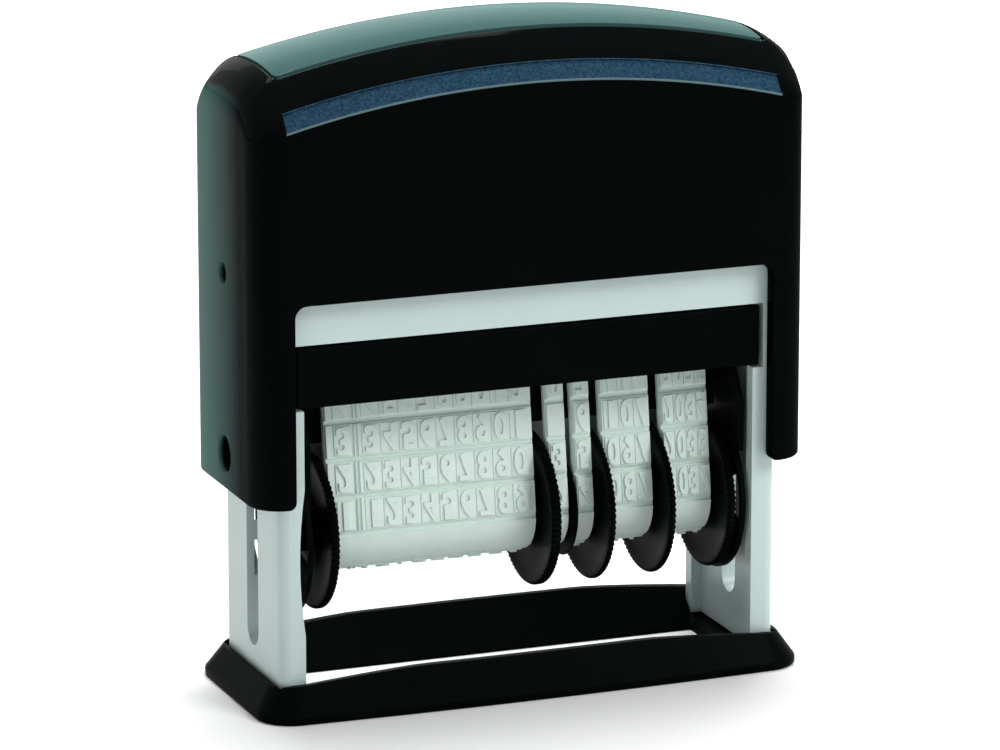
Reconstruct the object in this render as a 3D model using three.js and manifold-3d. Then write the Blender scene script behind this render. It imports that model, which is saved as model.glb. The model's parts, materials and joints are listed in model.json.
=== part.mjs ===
// Self-inking date stamp, built as an assembly of separate pieces.
// Millimetres. +Z is up, +X is to the right, and the front faces -Y.
// The origin is on the floor, under the middle of the stamp, with the cap up.
import * as THREE from 'three';
import { mergeVertices } from 'three/addons/utils/BufferGeometryUtils.js';
import Module from 'manifold-3d';

const wasm = await Module();
wasm.setup();

// Gaps and overruns shared by all the pieces.
const gap = 0.3; // between two pieces that touch, slide or turn on each other
const overrun = 2; // how far a cutting shape reaches past the face it cuts
const bite = 0.4; // how far a joined shape sinks into what it grows from
const weld = 1e-4; // points closer than this are one point

// Motion: pressing the cap by its travel turns the print unit by half a turn about its
// pivot, which brings the type from the pad down to the floor.
const travel = 21;
const halfTurn = Math.PI;
const typeReach = 9.7; // pivot to type face
const pivotHeight = travel + typeReach;
const typeFace = pivotHeight + typeReach;

// Heights of the ink cartridge and of the frame's bridge above it.
const cartridgeSkirt = 2.35; // how far the tray's lip hangs below the type face
const cartridgeHeight = 7.4;
const cartridgeBottom = typeFace - cartridgeSkirt;
const cartridgeTop = cartridgeBottom + cartridgeHeight;
const frameWall = 1.8;
const deckTop = cartridgeTop + gap + frameWall; // the frame's deck, above the cartridge's bay
const bridgeRim = 3.65; // the frame's rim above its deck
const frameTop = deckTop + bridgeRim;

// Cap: one moulded shell, open below, with a window in its front and its back.
const capWidth = 71;
const capDepth = 24.7;
const crownRoom = 10; // from the frame's top to the crest, with the cap pressed down
const capTop = frameTop + travel + crownRoom;
const capLegDrop = 4.45; // how far the cap's legs reach below the pivot
const capBottom = pivotHeight - capLegDrop;
const archRadius = 127; // arch of the crown, seen from the front
const capCorner = 5.5; // upper corners, seen from the front
const capEdge = 4; // upright corners, seen from above
const capInnerEdge = 1.2; // upright corners of the hollow
const cornerLeastShare = 0.98; // how much of an upper corner the plan's corners can take
const capSideWall = 2.9;
const capFrontWall = 1.7;
const capRoof = 1.8;
const crownFlat = 6.9; // half depth of the crown's flat
const crownFall = 0.6; // fall from the crest to the edge of the flat
const bevelDepth = 1.75; // the sloping band above the front face
const bevelHigh = 4.15; // fall from the crest to the band's upper edge
const bevelLow = 6.15; // fall from the crest to the band's lower edge
const hollowFall = 3.98; // fall of the hollow's roof, from its crest to the front wall
const capLegWidth = 4.95; // from the cap's side to the window
const windowHalf = capWidth / 2 - capLegWidth;
const windowLap = 0.2; // how far the frame's top shows above the window's edge
const windowTop = frameTop - windowLap;
const windowCorner = 1.5;
const legCorner = 1; // rounding of the cap's legs beside the window, at their feet
const catchHoleRadius = 1.15; // small round hole high in each side
const catchHoleRise = 1.8; // above the frame's top
const catchHoleHeight = frameTop + catchHoleRise;

// Frame: one moulding, two channel legs joined by a bridge.
const sideRun = 0.5; // clearance between frame and cap, at the sides
const frontRun = 0.45; // and at the front and the back
const frameHalfWidth = capWidth / 2 - capSideWall - sideRun;
const frameHalfDepth = capDepth / 2 - capFrontWall - frontRun;
const frameEdge = 1.3; // upright outer corners
const frameCorner = 3.2; // upper corners, seen from the front
const flangeWidth = 3.2; // width of a leg, seen from the front
const flangeEdge = frameHalfWidth - flangeWidth;
const wallInside = frameHalfWidth - frameWall;
const scoopDepth = 0.65; // shallow hollow in the left leg's edge, beside the thumbwheels
const scoopDrop = 20.7; // the hollow's ends, below the pivot
const scoopEnd = 2.7;
const scoopLow = pivotHeight - scoopDrop;
const scoopHigh = pivotHeight - scoopEnd;
const slotHalf = 2.05; // upright slot in each side wall
const slotRise = 2.8; // how far the slot reaches above the pivot, with the cap up
const slotDrop = 3.25; // and below it, with the cap down
const slotLow = pivotHeight - travel - slotDrop;
const slotHigh = pivotHeight + slotRise;

// Ink cartridge: a tray that slides in from the front, and its pad.
const cartridgeRun = 0.55; // clearance between the tray's sides and the frame
const cartridgeHalf = wallInside - cartridgeRun;
const cartridgeLip = 1.2; // thickness of the front lip
const railWidth = 1.15;
const padClearance = 0.3; // from the type to the pad
const padMargin = 3.15; // from the pad's end to the tray's side
const padHalfWidth = cartridgeHalf - padMargin;
const padHalfDepth = 5;
const padThick = 3.4;

// Print unit: it hangs from two pivot stubs that ride up and down with the cap.
const pivotRadius = 1.75;
const pivotHoleRadius = 2.15;
const pivotInset = 2.2; // the stub ends this far inside the cap's side
const axleDrop = 10.5; // pivot to wheel axle
const axleRadius = 1.2;
const axleHeight = pivotHeight - axleDrop;
const plateRun = 2; // clearance between the plates and the frame's side walls
const plateOutside = wallInside - plateRun;
const plateThick = 0.6;
const plateInside = plateOutside - plateThick;
const plateTopDrop = 3; // from the type face down to the plate's top edge
const plateTopReach = typeReach - plateTopDrop;
const plateTopInset = 3.7; // from the frame's front in to the plate, at its top edge
const plateTopHalf = frameHalfDepth - plateTopInset;
const plateWaistInset = 1.2; // and beside the pivot
const plateWaistHalf = frameHalfDepth - plateWaistInset;
const plateWaistRise = 2.3; // from the pivot up to the top of the wide part
const plateShoulder = 0.76; // angle above the axle where the round lobe starts, in radians
const lobeInset = 0.3; // and at the round lobe
const lobeRadius = frameHalfDepth - lobeInset;
const crescentRim = 0.7; // from the lobe's edge in to the crescent slot
const crescentOuter = lobeRadius - crescentRim;
const crescentWidth = 3.8;
const crescentInner = crescentOuter - crescentWidth;
const crescentLow = -0.25; // ends of the crescent slot, in radians above the axle
const crescentHigh = 0.45;
const guideReach = 4; // pivot to guide pin
const guideRadius = 1;
const guideGrooveDepth = 0.8;

// Bands: five endless rubber bands run round the platform and the wheel hubs.
const bandRows = 12;
const rowGap = 0.45;
const backingHalf = 0.45; // half the thickness of the rubber strap
const padHeight = 0.4; // a row's raised block, above the strap
const letterHeight = 0.4; // the letters on the block, which are fine surface work
const platformFlat = 1.3; // half width of the flat that the bands bend over
const platformBend = 0.3; // bend radius of the strap's middle line there
const loopRadius = 4.18; // radius of the strap's middle line round the hubs
const loopTop = typeFace - letterHeight - padHeight - backingHalf;

// Thumbwheels, bands and the spacer, in their order along the axle.
const stackLeftRun = 2.5; // free room beside the leftmost wheel, which its collar fills
const stackRightRun = 0.5; // free room beside the rightmost wheel
const stackLeft = stackLeftRun - plateInside;
const wheelInset = 0.2; // from the plates' round lobes in to the wheels' rims
const wheelRadius = lobeRadius - wheelInset;
const wheelTeeth = 80;
const toothDepth = 0.35;
const toothCrestShare = 0.65; // of a tooth's pitch, from its foot to its crest
const spacerRadius = 6.4;
const collarRadius = 2.6;
const edgeWheel = 1;
const tensWheel = 1.2;
const unitsWheel = 0.7;
const monthWheel = 0.8;
const spacerThick = 0.3;
const tensWidth = 2.5;
const unitsWidth = 2.4;
const monthWidth = 6.5;
const yearWidth = 6.3;

// Type platform: the bar behind the type.
const platformRise = 0.65; // the bar's underside, above the pivot
const platformLow = pivotHeight + platformRise;
const tabHalf = 0.8;
const tabDrop = 4.2; // from the type face down to the tabs' top
const tabHeight = 2;
const tabHigh = typeFace - tabDrop;
const tabLow = tabHigh - tabHeight;

// Return springs.
const springPlace = 18;
const springRadius = 3.55; // middle of the wire
const wireRadius = 0.45;
const springTurns = 7.5;
const springSteps = 8; // points in one turn
const springSeatRadius = 4.8;
const spigotRadius = 2.5;
const spigotHeight = 3;
const springSeatDrop = 4.7; // from the crest to the underside of the seats in the cap
const springSeat = capTop - springSeatDrop;

// Base: a low skirted foot, open in the middle so that the type meets the paper.
const baseEndMargin = 2.9; // how far the foot stands out beside the frame
const baseSideMargin = 4.2; // and in front of it and behind it
const baseHalfWidth = frameHalfWidth + baseEndMargin;
const baseHalfDepth = frameHalfDepth + baseSideMargin;
const baseCorner = 4.6;
const baseBow = 0.7; // how far the long sides swell
const baseLip = 1; // upright edge above the floor
const rimInset = 1.9; // from the lip in to the rim
const rimThick = 1.1;
const rimLow = 3.95; // rim height at the ends
const rimRise = 1.85; // extra rim height at mid-length
const openingInset = 1; // from the edge of the frame's legs to the end of the opening
const openingHalfWidth = flangeEdge - openingInset;
const openingHalfDepth = 6.2;
const openingEdge = 0.6; // upright edge round the opening
const pocketFloor = 1.2;

// Colours and finishes.
const gloss = { color: 0x101417, roughness: 0.16, metalness: 0 };
const satinBlack = { color: 0x14171a, roughness: 0.42, metalness: 0 };
const paleGrey = { color: 0xc6d6d2, roughness: 0.4, metalness: 0 };
const paleRubber = { color: 0xd8e6de, roughness: 0.7, metalness: 0 };
const steel = { color: 0xb4b8bc, roughness: 0.3, metalness: 1 };
const felt = { color: 0x23242c, roughness: 0.95, metalness: 0 };

// A three.js geometry as a solid that can be cut and joined.
function solid(geometry) {
  geometry.deleteAttribute('normal');
  geometry.deleteAttribute('uv');
  const merged = mergeVertices(geometry, weld);
  const vertProperties = new Float32Array(merged.attributes.position.array);
  const triVerts = new Uint32Array(merged.index.array);
  return new wasm.Manifold(new wasm.Mesh({ numProp: 3, vertProperties, triVerts }));
}

// A solid as a named mesh with its own material.
function meshOf(name, body, finish) {
  const { vertProperties, triVerts } = body.getMesh();
  const geometry = new THREE.BufferGeometry();
  geometry.setAttribute('position', new THREE.BufferAttribute(vertProperties, 3));
  geometry.setIndex(new THREE.BufferAttribute(triVerts, 1));
  geometry.computeVertexNormals();
  const mesh = new THREE.Mesh(geometry, new THREE.MeshStandardMaterial(finish));
  mesh.name = name;
  return mesh;
}

// Points [u, v] along a circular arc, both ends included.
function arc(u, v, radius, from, to, steps) {
  return Array.from({ length: steps + 1 }, (_, i) => {
    const angle = from + ((to - from) * i) / steps;
    return [u + radius * Math.cos(angle), v + radius * Math.sin(angle)];
  });
}

// A circle as an outline; the last point is left to the closing edge.
function circle(u, v, radius, steps) {
  return arc(u, v, radius, 0, 2 * Math.PI, steps).slice(0, -1);
}

// A rectangle from its low and high corners.
function rectangle(lowU, lowV, highU, highV) {
  return [[lowU, lowV], [highU, lowV], [highU, highV], [lowU, highV]];
}

// The outline mirrored in u, its order turned round so that it still runs the same way.
function mirrored(points) {
  return points.map(([u, v]) => [-u, v]).reverse();
}

// A prism: an outline [u, v] carried along an axis. Along x the outline is [y, z],
// along y it is [x, z] and along z it is [x, y].
function prism(axis, outline, from, to, holes = []) {
  const shape = new THREE.Shape(outline.map(([u, v]) => new THREE.Vector2(u, v)));
  shape.holes = holes.map((hole) => new THREE.Path(hole.map(([u, v]) => new THREE.Vector2(u, v))));
  const geometry = new THREE.ExtrudeGeometry(shape, { depth: to - from, bevelEnabled: false });
  const X = new THREE.Vector3(1, 0, 0);
  const Y = new THREE.Vector3(0, 1, 0);
  const Z = new THREE.Vector3(0, 0, 1);
  const place = new THREE.Matrix4();
  if (axis === 'x') place.makeBasis(Y, Z, X).setPosition(from, 0, 0);
  if (axis === 'y') place.makeBasis(X, Z, Y.clone().negate()).setPosition(0, to, 0);
  if (axis === 'z') place.makeBasis(X, Y, Z).setPosition(0, 0, from);
  return solid(geometry.applyMatrix4(place));
}

// Rings of points [x, y, z], skinned in order and closed at both ends. Seen from the
// last ring, each ring runs anticlockwise.
function loft(rings) {
  const count = rings[0].length;
  const last = (rings.length - 1) * count;
  const faces = [];
  for (let i = 0; i < count; i += 1) {
    const next = (i + 1) % count;
    for (let start = 0; start < last; start += count) {
      const [a, b] = [start + i, start + next];
      faces.push(a, b, b + count, a, b + count, a + count);
    }
    if (i > 0 && next > 0) faces.push(0, next, i, last, last + i, last + next);
  }
  const geometry = new THREE.BufferGeometry();
  geometry.setAttribute('position', new THREE.Float32BufferAttribute(rings.flat(2), 3));
  geometry.setIndex(faces);
  return solid(geometry);
}

// How far a crown has fallen below its crest at a distance from the middle of the depth.
// A crown is a list of [distance, fall].
function crownDrop(y, crown) {
  const depth = Math.abs(y);
  const i = Math.max(crown.findIndex(([distance]) => distance >= depth), 1);
  const [[nearY, nearFall], [farY, farFall]] = [crown[i - 1], crown[i]];
  return nearFall + ((farFall - nearFall) * (depth - nearY)) / (farY - nearY);
}

// One slice of an arched block across its depth: a flat foot, upright sides, rounded
// corners and the arch, which all meet smoothly. Where the plan's corners make the slice
// narrower than the block, the sides cut the rounded corners off, by the clip.
function archSlice(y, halfWidth, clip, bottom, top, arch, corner) {
  const centre = top - arch;
  const reach = halfWidth - corner;
  const rise = Math.sqrt((arch - corner) ** 2 - reach ** 2);
  const tangent = Math.atan2(rise, reach);
  const cut = Math.acos(Math.min((clip - reach) / corner, 1));
  const start = Math.min(cut, tangent * cornerLeastShare);
  const edge = reach + corner * Math.cos(start);
  const outline = [
    [-edge, bottom],
    [edge, bottom],
    ...arc(reach, centre + rise, corner, start, tangent, 5),
    ...arc(0, centre, arch, tangent, Math.PI - tangent, 14).slice(1, -1),
    ...arc(-reach, centre + rise, corner, Math.PI - tangent, Math.PI - start, 5),
  ];
  return outline.map(([x, z]) => [x, y, z]);
}

// The cap's outer or inner form: slices from the back to the front.
function capForm({ halfDepth, halfWidth, bottom, top, arch, corner, edge, crown }) {
  const straight = halfDepth - edge;
  const turn = arc(0, straight, edge, 0, Math.PI / 2, 4).map(([, depth]) => depth);
  const depths = [...turn, ...crown.map(([distance]) => distance)];
  const sorted = depths.flatMap((y) => [y, -y]).sort((a, b) => b - a);
  const stations = sorted.filter((y, i) => i === 0 || sorted[i - 1] - y > weld);
  const slices = stations.map((y) => {
    const past = Math.min(Math.max(Math.abs(y) - straight, 0), edge);
    const clip = halfWidth - edge + Math.sqrt(edge ** 2 - past ** 2);
    return archSlice(y, halfWidth, clip, bottom, top - crownDrop(y, crown), arch, corner);
  });
  return loft(slices);
}

// The cap shell: its form, hollowed, with the windows, the side holes and the spring seats.
function capShell() {
  const outer = {
    halfDepth: capDepth / 2,
    halfWidth: capWidth / 2,
    bottom: capBottom,
    top: capTop,
    arch: archRadius,
    corner: capCorner,
    edge: capEdge,
    crown: [
      [0, 0],
      [crownFlat, crownFall],
      [capDepth / 2 - bevelDepth, bevelHigh],
      [capDepth / 2, bevelLow],
    ],
  };
  const hollow = {
    halfDepth: capDepth / 2 - capFrontWall,
    halfWidth: capWidth / 2 - capSideWall,
    bottom: capBottom - overrun,
    top: capTop - capRoof,
    arch: archRadius - capRoof,
    corner: capCorner - capSideWall,
    edge: capInnerEdge,
    crown: [[0, 0], [crownFlat, crownFall], [capDepth / 2 - capFrontWall, hollowFall]],
  };
  const flare = windowHalf + legCorner;
  const foot = capBottom + legCorner;
  const side = [
    [flare, capBottom - overrun],
    ...arc(flare, foot, legCorner, 1.5 * Math.PI, Math.PI, 4),
    ...arc(windowHalf - windowCorner, windowTop - windowCorner, windowCorner, 0, Math.PI / 2, 4),
  ];
  const window = [...side, ...mirrored(side)];
  let shell = capForm(outer).subtract(capForm(hollow));
  shell = shell.subtract(prism('y', window, -capDepth, capDepth));
  const across = [-capWidth, capWidth];
  shell = shell.subtract(prism('x', circle(0, pivotHeight, pivotHoleRadius, 24), ...across));
  shell = shell.subtract(prism('x', circle(0, catchHoleHeight, catchHoleRadius, 16), ...across));
  const fall = archRadius - Math.sqrt(archRadius ** 2 - springPlace ** 2);
  const roofMiddle = capTop - fall - crownFall - capRoof / 2;
  for (const x of [-springPlace, springPlace]) {
    const seat = circle(x, 0, springSeatRadius, 20);
    const spigot = circle(x, 0, spigotRadius, 16);
    shell = shell.add(prism('z', seat, springSeat, roofMiddle));
    shell = shell.add(prism('z', spigot, springSeat - spigotHeight, springSeat + bite));
  }
  return shell;
}

// Where the guide pin is, in y and z, when the unit has turned by an angle.
function guidePoint(angle) {
  const drop = (travel * angle) / halfTurn;
  return [guideReach * Math.sin(angle), pivotHeight - drop - guideReach * Math.cos(angle)];
}

// The guide groove in a side wall: the pin's path, widened by the pin and its clearance.
function guideGroove() {
  const half = guideRadius + gap;
  const steps = 24;
  const sides = [[], []];
  for (let i = 0; i <= steps; i += 1) {
    const angle = (halfTurn * i) / steps;
    const [y, z] = guidePoint(angle);
    const alongY = guideReach * Math.cos(angle);
    const alongZ = guideReach * Math.sin(angle) - travel / halfTurn;
    const length = Math.hypot(alongY, alongZ);
    sides[0].push([y - (half * alongZ) / length, z + (half * alongY) / length]);
    sides[1].unshift([y + (half * alongZ) / length, z - (half * alongY) / length]);
  }
  return [...sides[1], ...sides[0]];
}

// The hollow in a leg's edge: a flat arc bitten out of the edge, seen from the front.
function scoop() {
  const halfChord = (scoopHigh - scoopLow) / 2;
  const radius = (halfChord ** 2 + scoopDepth ** 2) / (2 * scoopDepth);
  const halfSpan = Math.asin(halfChord / radius);
  const middle = (scoopHigh + scoopLow) / 2;
  const curve = arc(flangeEdge + scoopDepth - radius, middle, radius, -halfSpan, halfSpan, 8);
  return [[flangeEdge - overrun, scoopLow], ...curve, [flangeEdge - overrun, scoopHigh]];
}

// The frame: a box, opened from the front and the back, and hollowed behind its flanges.
function frame() {
  const bottom = pocketFloor + gap;
  const bayFloor = cartridgeBottom - gap;
  const deck = cartridgeTop + gap;
  const cornerCentre = frameHalfWidth - frameCorner;
  const right = [
    [frameHalfWidth, bottom],
    ...arc(cornerCentre, frameTop - frameCorner, frameCorner, 0, Math.PI / 2, 6),
  ];
  const front = [...right, ...mirrored(right)];
  const edge = frameEdge;
  const plan = [
    ...arc(frameHalfWidth - edge, frameHalfDepth - edge, edge, 0, Math.PI / 2, 3),
    ...arc(edge - frameHalfWidth, frameHalfDepth - edge, edge, Math.PI / 2, Math.PI, 3),
    ...arc(edge - frameHalfWidth, edge - frameHalfDepth, edge, Math.PI, 1.5 * Math.PI, 3),
    ...arc(frameHalfWidth - edge, edge - frameHalfDepth, edge, 1.5 * Math.PI, 2 * Math.PI, 3),
  ];
  let body = prism('z', plan, bottom, frameTop);
  body = body.intersect(prism('y', front, -frameHalfDepth, frameHalfDepth));

  const side = [
    [flangeEdge, bottom - overrun],
    [flangeEdge, bayFloor],
    [wallInside, bayFloor],
    [wallInside, deck],
  ];
  const pastDepth = frameHalfDepth + overrun;
  body = body.subtract(prism('y', [...side, ...mirrored(side)], -pastDepth, pastDepth));
  body = body.subtract(prism('y', mirrored(scoop()), -pastDepth, 0));

  const inside = frameHalfDepth - frameWall;
  const channel = rectangle(-wallInside, -inside, wallInside, inside);
  body = body.subtract(prism('z', channel, bottom - overrun, bayFloor));
  body = body.subtract(prism('z', channel, deckTop, frameTop + overrun));

  const slot = [
    ...arc(0, slotHigh - slotHalf, slotHalf, 0, Math.PI, 8),
    ...arc(0, slotLow + slotHalf, slotHalf, Math.PI, 2 * Math.PI, 8),
  ];
  const pastWidth = frameHalfWidth + overrun;
  body = body.subtract(prism('x', slot, -pastWidth, pastWidth));
  const grooveEnd = wallInside + guideGrooveDepth;
  body = body.subtract(prism('x', guideGroove(), -grooveEnd, grooveEnd));
  for (const x of [-springPlace, springPlace]) {
    const spigot = circle(x, 0, spigotRadius, 16);
    body = body.add(prism('z', spigot, deckTop - bite, deckTop + spigotHeight));
  }
  return body;
}

// One ring of the base: rounded corners, long sides swollen by the bow, and a height
// that may change along the length.
function baseRing(inset, height) {
  const half = baseHalfWidth - inset;
  const depth = baseHalfDepth - baseBow - inset;
  const corner = baseCorner - inset / 2;
  const straight = half - corner;
  const steps = 10;
  const long = Array.from({ length: steps - 1 }, (_, i) => {
    const share = 1 - (2 * (i + 1)) / steps;
    return [straight * share, depth + baseBow * (1 - share ** 2)];
  });
  const quarter = arc(straight, depth - corner, corner, 0, Math.PI / 2, 5);
  const upper = [...quarter, ...long, ...mirrored(quarter)];
  const lower = upper.map(([x, y]) => [-x, -y]);
  return [...upper, ...lower].map(([x, y]) => [x, y, height(x / half)]);
}

// The base: a skirt up to the rim, cut by the sloping well, the opening and two pockets.
function base() {
  const rim = (share) => rimLow + rimRise * Math.max(1 - share ** 2, 0);
  const floor = () => 0;
  const lip = () => baseLip;
  const crest = rimInset + rimThick;
  const rings = [baseRing(0, floor), baseRing(0, lip), baseRing(rimInset, rim)];
  let foot = loft([...rings, baseRing(crest, rim)]);
  const wellHalf = baseHalfDepth - baseBow - crest;
  const top = rimLow + rimRise + overrun;
  const steepness = (wellHalf - openingHalfDepth) / (rimLow - openingEdge);
  const wide = openingHalfDepth + steepness * (top - openingEdge);
  const well = [
    [-openingHalfDepth, openingEdge], [openingHalfDepth, openingEdge], [wide, top], [-wide, top],
  ];
  const pocketInner = flangeEdge - gap;
  const pocketOuter = frameHalfWidth + gap;
  const pocketDepth = frameHalfDepth + gap;
  foot = foot.subtract(prism('x', well, -pocketInner, pocketInner));
  const opening = [openingHalfWidth, openingHalfDepth];
  const hole = rectangle(-opening[0], -opening[1], ...opening);
  foot = foot.subtract(prism('z', hole, -overrun, rimLow));
  const pocketCorner = frameEdge + gap;
  const turn = [pocketOuter - pocketCorner, pocketDepth - pocketCorner];
  const pocket = [
    [pocketInner, -pocketDepth],
    ...arc(turn[0], -turn[1], pocketCorner, -Math.PI / 2, 0, 3),
    ...arc(turn[0], turn[1], pocketCorner, 0, Math.PI / 2, 3),
    [pocketInner, pocketDepth],
  ];
  for (const outline of [pocket, mirrored(pocket)]) {
    foot = foot.subtract(prism('z', outline, pocketFloor, top));
  }
  return foot;
}

// The cartridge tray: a slab with a recess below for the pad, a rail down each side
// and a lip across the front.
function cartridgeTray() {
  const underside = typeFace + 2 * padClearance;
  const depth = frameHalfDepth;
  const slab = rectangle(-depth, underside, depth, cartridgeTop);
  let tray = prism('x', slab, -cartridgeHalf, cartridgeHalf);
  const lip = rectangle(-depth, cartridgeBottom, cartridgeLip - depth, underside + bite);
  tray = tray.add(prism('x', lip, -cartridgeHalf, cartridgeHalf));
  for (const x of [-cartridgeHalf, cartridgeHalf - railWidth]) {
    const rail = rectangle(-depth, cartridgeBottom, depth, underside + bite);
    tray = tray.add(prism('x', rail, x, x + railWidth));
  }
  const recess = [padHalfWidth + gap, padHalfDepth + gap];
  const recessTop = typeFace + padClearance + padThick + gap;
  const plan = rectangle(-recess[0], -recess[1], ...recess);
  return tray.subtract(prism('z', plan, underside - overrun, recessTop));
}

// The ink pad lies in the recess, its face just above the type.
function inkPad() {
  const face = typeFace + padClearance;
  const plan = rectangle(-padHalfWidth, -padHalfDepth, padHalfWidth, padHalfDepth);
  return prism('z', plan, face, face + padThick);
}

// A carrier plate: a round lobe about the wheel axle, a wide head round the pivot, the
// crescent slot, and on its outer face the pivot stub and the guide pin. The side is
// -1 for the left plate and 1 for the right one.
function carrierPlate(side) {
  const lobe = arc(0, axleHeight, lobeRadius, Math.PI - plateShoulder, 2 * Math.PI + plateShoulder, 36);
  const shoulder = axleHeight + lobeRadius * Math.sin(plateShoulder);
  const waistTop = pivotHeight + plateWaistRise;
  const top = pivotHeight + plateTopReach;
  const outline = [
    ...lobe,
    [plateWaistHalf, shoulder],
    [plateWaistHalf, waistTop],
    [plateTopHalf, top],
    [-plateTopHalf, top],
    [-plateWaistHalf, waistTop],
    [-plateWaistHalf, shoulder],
  ];
  const low = Math.PI - crescentLow;
  const high = Math.PI - crescentHigh;
  const crescent = [
    ...arc(0, axleHeight, crescentOuter, high, low, 10),
    ...arc(0, axleHeight, crescentInner, low, high, 10),
  ];
  const axleHole = circle(0, axleHeight, axleRadius + gap, 16);
  const tabHole = rectangle(-tabHalf - gap, tabLow - gap, tabHalf + gap, tabHigh + gap);
  const span = (from, to) => [Math.min(side * from, side * to), Math.max(side * from, side * to)];
  let plate = prism('x', outline, ...span(plateInside, plateOutside), [crescent, axleHole, tabHole]);
  const stub = circle(0, pivotHeight, pivotRadius, 20);
  const pin = circle(0, pivotHeight - guideReach, guideRadius, 12);
  const stubEnd = capWidth / 2 - pivotInset;
  const pinEnd = wallInside + guideGrooveDepth - gap;
  plate = plate.add(prism('x', stub, ...span(plateOutside - bite, stubEnd)));
  return plate.add(prism('x', pin, ...span(plateOutside - bite, pinEnd)));
}

// The type platform: a bar inside the bands, under the row that prints, tapered as they
// are, with a tab at each end that sits in its plate.
function typePlatform() {
  const top = loopTop - backingHalf - gap;
  const topHalf = platformFlat + platformBend - backingHalf - gap;
  const lowHalf = topHalf + (top - platformLow) * Math.tan(loopLine().lean);
  const section = [[-lowHalf, platformLow], [lowHalf, platformLow], [topHalf, top], [-topHalf, top]];
  const bar = prism('x', section, gap - plateInside, plateInside - gap);
  return bar.add(prism('x', rectangle(-tabHalf, tabLow, tabHalf, tabHigh), -plateOutside, plateOutside));
}

// The strap's middle line round the platform and the hubs, as a function of the length
// along it from the middle of the platform: place and outward direction in y and z.
function loopLine() {
  const bendHeight = loopTop - platformBend;
  const rise = bendHeight - axleHeight;
  const span = Math.hypot(platformFlat, rise);
  const lean = Math.asin((loopRadius - platformBend) / span) - Math.atan2(platformFlat, rise);
  const side = Math.sqrt(span ** 2 - (loopRadius - platformBend) ** 2);
  const ends = [platformFlat];
  ends.push(ends[0] + platformBend * (Math.PI / 2 - lean));
  ends.push(ends[1] + side);
  ends.push(ends[2] + loopRadius * (Math.PI / 2 + lean));
  const half = (s) => {
    if (s <= ends[0]) return [s, loopTop, 0, 1];
    if (s <= ends[1]) {
      const angle = Math.PI / 2 - (s - ends[0]) / platformBend;
      const [y, z] = [Math.cos(angle), Math.sin(angle)];
      return [platformFlat + platformBend * y, bendHeight + platformBend * z, y, z];
    }
    if (s <= ends[2]) {
      const [y, z] = [Math.cos(lean), Math.sin(lean)];
      const along = s - ends[1];
      return [platformFlat + platformBend * y + along * z, bendHeight + platformBend * z - along * y, y, z];
    }
    const angle = lean - (s - ends[2]) / loopRadius;
    const [y, z] = [Math.cos(angle), Math.sin(angle)];
    return [loopRadius * y, axleHeight + loopRadius * z, y, z];
  };
  const length = 2 * ends[3];
  const at = (s, offset) => {
    const along = ((s % length) + length) % length;
    const mirror = along > length / 2 ? -1 : 1;
    const [y, z, outY, outZ] = half(mirror > 0 ? along : length - along);
    return [mirror * (y + outY * offset), z + outZ * offset];
  };
  return { length, at, lean, curved: ends[2] };
}

// A printing band: the strap and its raised rows, seen end on. The row that prints lies
// flat across the platform and stands over its edges, the rows at the sides need only
// their ends, and those round the hubs are stepped.
function band(left, right) {
  const { length, at, curved } = loopLine();
  const pitch = length / bandRows;
  const half = (pitch - rowGap) / 2;
  const face = backingHalf + padHeight;
  const bend = [2, 1, 0].map((i) => platformFlat + (platformBend * Math.PI * i) / 4);
  const outer = [
    ...bend.map((s) => at(-s, backingHalf)),
    [-half, loopTop + backingHalf],
    [-half, loopTop + face],
    [half, loopTop + face],
    [half, loopTop + backingHalf],
    ...bend.reverse().map((s) => at(s, backingHalf)),
  ];
  for (let row = 1; row < bandRows; row += 1) {
    const middle = row * pitch;
    const steps = Math.min(middle, length - middle) + half > curved ? 4 : 1;
    outer.push(at(middle - half, backingHalf));
    for (let i = 0; i <= steps; i += 1) {
      outer.push(at(middle - half + (2 * half * i) / steps, face));
    }
    outer.push(at(middle + half, backingHalf));
  }
  const innerSteps = 48;
  const inner = Array.from({ length: innerSteps }, (_, i) => at((length * i) / innerSteps, -backingHalf));
  return prism('x', outer.reverse(), left, right, [inner]);
}

// A toothed rim: each tooth rises slowly and falls steeply.
function toothedRim(radius) {
  const points = [];
  for (let tooth = 0; tooth < wheelTeeth; tooth += 1) {
    const angle = (2 * Math.PI * tooth) / wheelTeeth;
    const crest = angle + (2 * Math.PI * toothCrestShare) / wheelTeeth;
    const foot = radius - toothDepth;
    points.push([foot * Math.cos(angle), axleHeight + foot * Math.sin(angle)]);
    points.push([radius * Math.cos(crest), axleHeight + radius * Math.sin(crest)]);
  }
  return points;
}

// A thumbwheel: the toothed disc, the hub that turns its band, and the bore. The hub
// may also have a collar on the far side.
function thumbwheel(discLeft, discRight, hubEnd, collarEnd) {
  const bore = circle(0, axleHeight, axleRadius + gap, 16);
  const hubRadius = loopRadius - backingHalf - gap;
  const hub = circle(0, axleHeight, hubRadius, 28);
  const collar = circle(0, axleHeight, collarRadius, 20);
  const forward = hubEnd > discRight;
  const hubSpan = forward ? [discRight - bite, hubEnd] : [hubEnd, discLeft + bite];
  let wheel = prism('x', toothedRim(wheelRadius), discLeft, discRight);
  wheel = wheel.add(prism('x', hub, ...hubSpan));
  if (collarEnd < discLeft) wheel = wheel.add(prism('x', collar, collarEnd, discLeft + bite));
  return wheel.subtract(prism('x', bore, -plateOutside, plateOutside));
}

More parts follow.
